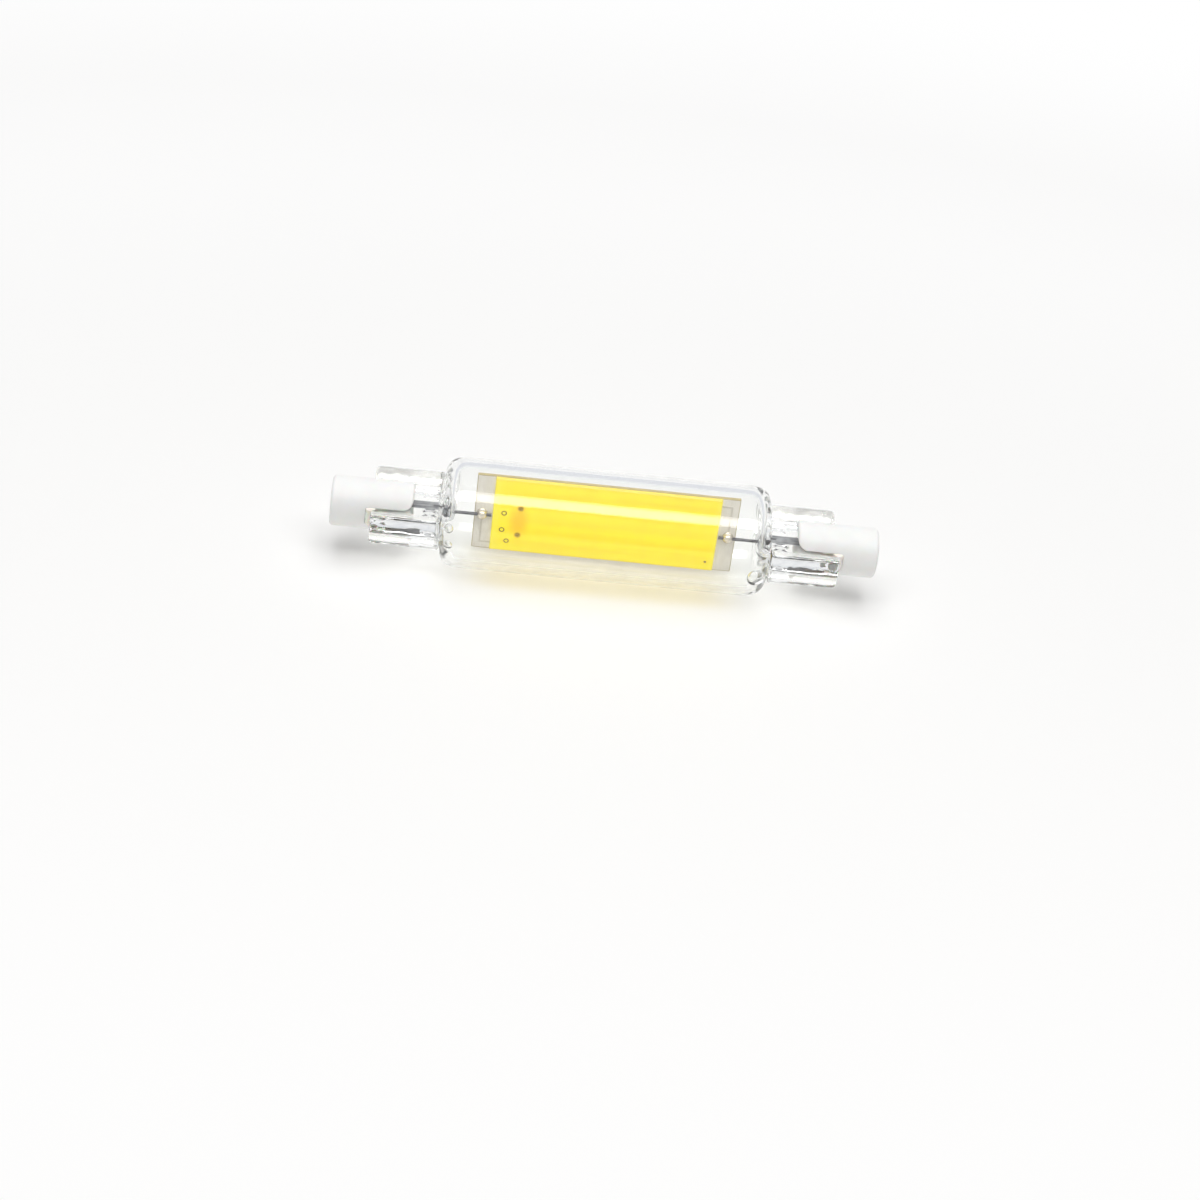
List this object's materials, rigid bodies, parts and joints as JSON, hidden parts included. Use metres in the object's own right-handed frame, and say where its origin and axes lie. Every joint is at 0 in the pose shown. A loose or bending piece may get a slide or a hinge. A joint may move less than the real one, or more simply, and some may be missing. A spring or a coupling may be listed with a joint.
{
  "type": "double-ended linear led bulb",
  "caption": "Clear glass tube bulb with flat pressed ends, white slotted ceramic caps with recessed contacts, and a yellow phosphor-coated LED board inside.",
  "frame": {"origin": "middle of the lamp, on the tube's axis", "axes": "+X along the tube towards the end away from the driver dies, +Z normal to the flat pressed ends, and the lit face of the board looks along -Y"},
  "size_m": [0.078, 0.0158, 0.0158],
  "materials": {
    "clear_glass": "polished",
    "white_ceramic": "matte",
    "board_ceramic": "satin",
    "contact_metal": "satin",
    "lead_metal": "satin",
    "foil_metal": "satin",
    "cement": "satin",
    "solder": "gloss",
    "printed_track": "satin",
    "die": "gloss",
    "phosphor": "satin"
  },
  "bodies": {
    "root": {"driver_dies": "die", "glass_envelope": "clear_glass", "led_board": "board_ceramic", "led_dies": "die", "left_cap": "white_ceramic", "left_cement": "cement", "left_contact": "contact_metal", "left_inner_lead": "lead_metal", "left_outer_lead": "lead_metal", "left_seal_foil": "foil_metal", "left_solder": "solder", "left_track": "printed_track", "phosphor_coat": "phosphor", "rectifier_dies": "die", "right_cap": "white_ceramic", "right_cement": "cement", "right_contact": "contact_metal", "right_inner_lead": "lead_metal", "right_outer_lead": "lead_metal", "right_seal_foil": "foil_metal", "right_solder": "solder", "right_track": "printed_track"}
  },
  "joints": []
}
